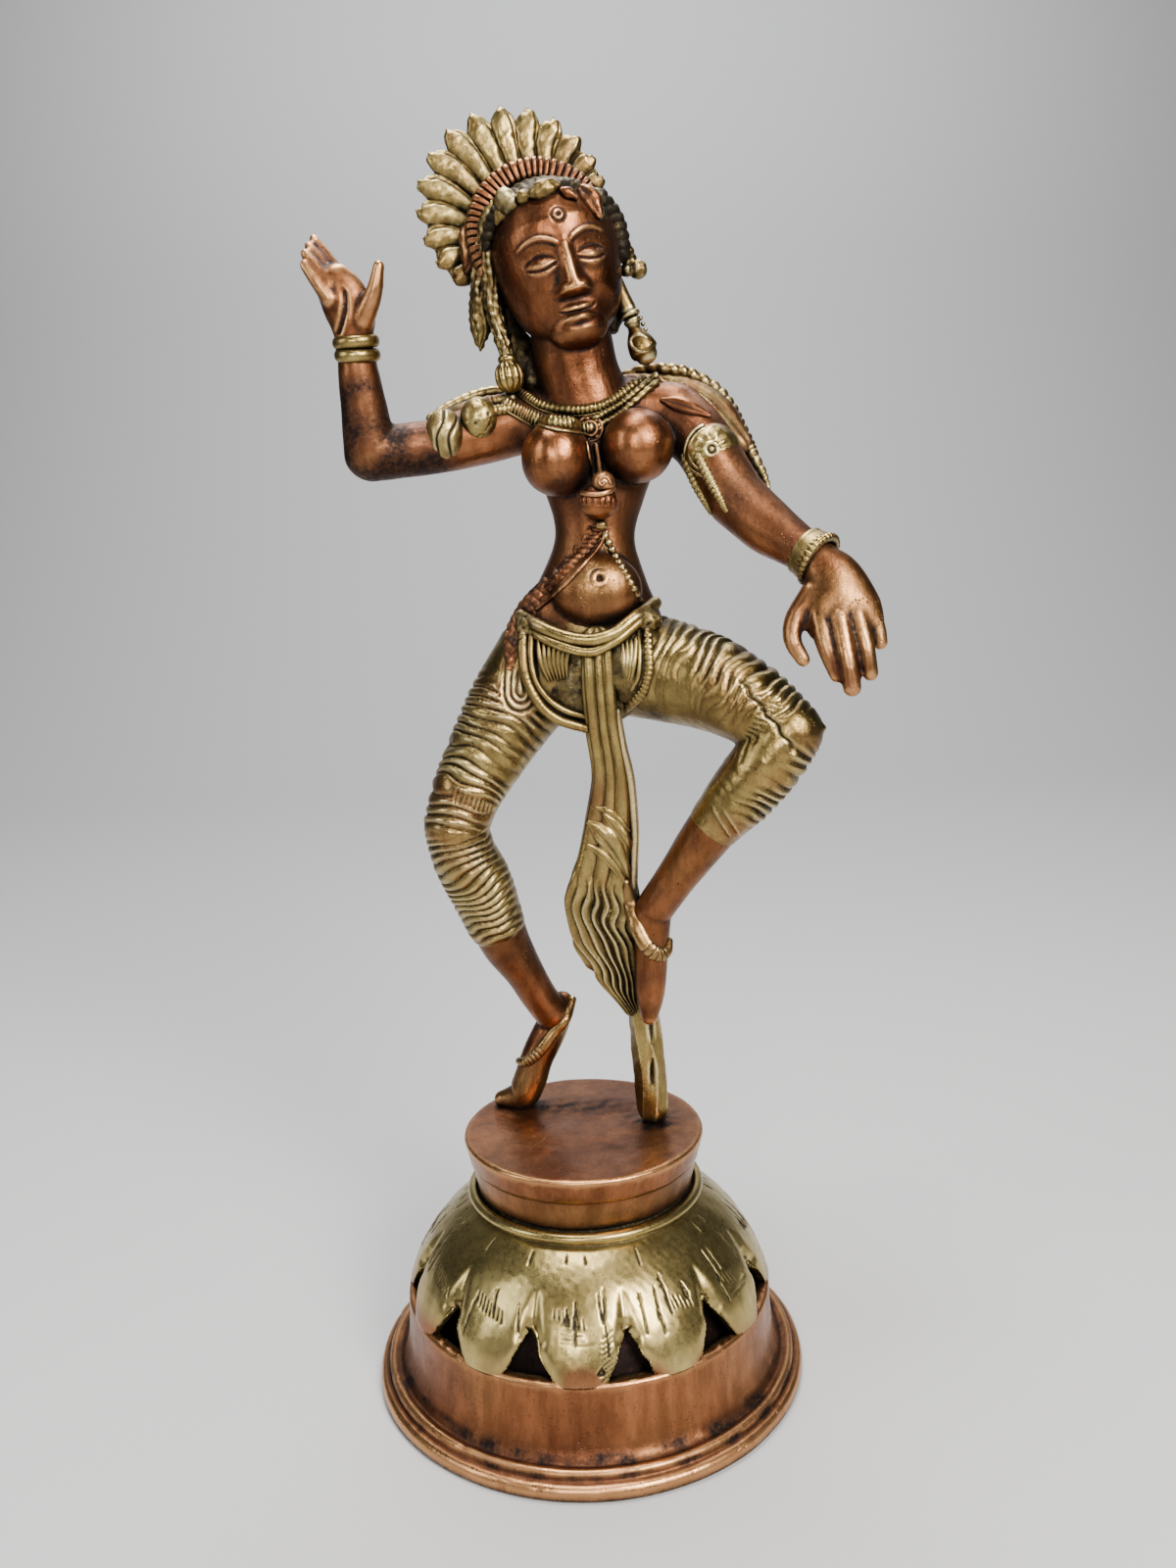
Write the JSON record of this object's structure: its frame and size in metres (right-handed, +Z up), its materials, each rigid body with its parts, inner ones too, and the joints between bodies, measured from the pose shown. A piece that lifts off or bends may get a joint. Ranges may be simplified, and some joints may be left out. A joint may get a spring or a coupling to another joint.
{
  "type": "dancing goddess statuette",
  "caption": "Cast brass and copper statuette of a dancing figure with a fanned crown, one knee raised, standing on a round plinth over a hollow pierced lotus base.",
  "frame": {"origin": "Bottom middle of the whole's bounding box, on the surface the base stands on. The base's upright axis is 7.9 mm to the -X side of it, because the lowered hand reaches further than the raised one.", "axes": "+Z up, the figure faces -Y, its raised knee and lowered hand are on the +X side."},
  "size_m": [0.1328, 0.117, 0.3307],
  "materials": {
    "figure_metal": "copper-toned cast brass, worn bright on the ornaments, dark patina in the hollows",
    "plinth_metal": "copper-toned, turned and brushed",
    "base_metal": "yellow brass petals with chased strokes over a copper-toned band"
  },
  "bodies": {
    "root": {"dancing_figure": "figure_metal", "round_plinth": "plinth_metal", "lotus_base": "base_metal"}
  },
  "joints": []
}
